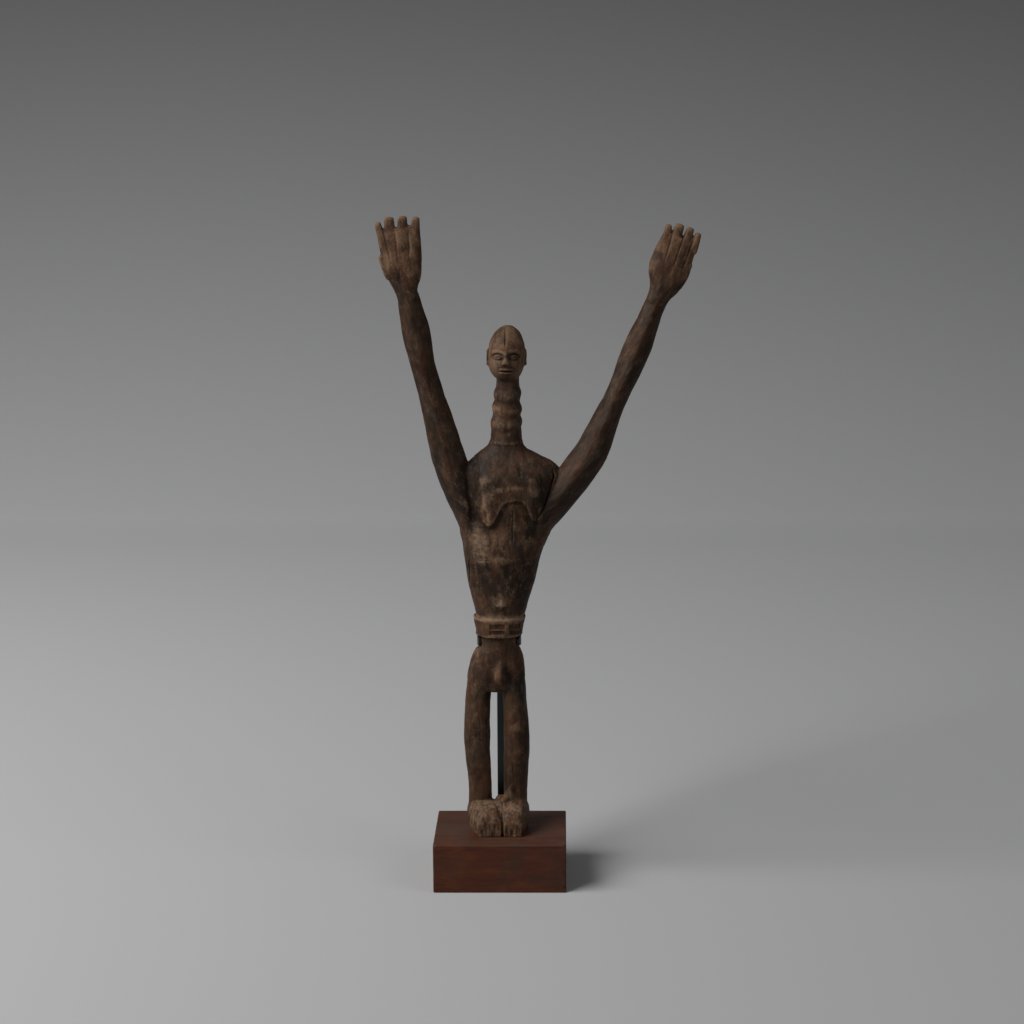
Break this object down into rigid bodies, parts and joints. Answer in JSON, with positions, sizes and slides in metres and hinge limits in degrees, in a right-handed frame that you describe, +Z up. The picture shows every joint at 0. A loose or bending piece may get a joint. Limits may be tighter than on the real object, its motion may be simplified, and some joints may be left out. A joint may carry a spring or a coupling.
{
  "type": "carved wooden statue",
  "caption": "Slender carved wooden standing figure with both arms raised and hands open, ringed neck and belt, clasped at the waist by a steel support on a wooden plinth",
  "frame": {"origin": "centre of the plinth's underside", "axes": "+Z up along the figure, +X to the figure's left, which is the viewer's right; the figure faces -Y"},
  "size_m": [0.3055, 0.1, 0.6534],
  "materials": {
    "carved_wood": "old dark patina, worn paler on the raised carving, dry with a low sheen",
    "plinth_wood": "red-brown stain, satin, dusty top",
    "black_steel": "blackened, matt"
  },
  "bodies": {
    "root": {"figure": "carved_wood", "plinth": "plinth_wood", "steel_support": "black_steel"}
  },
  "joints": []
}
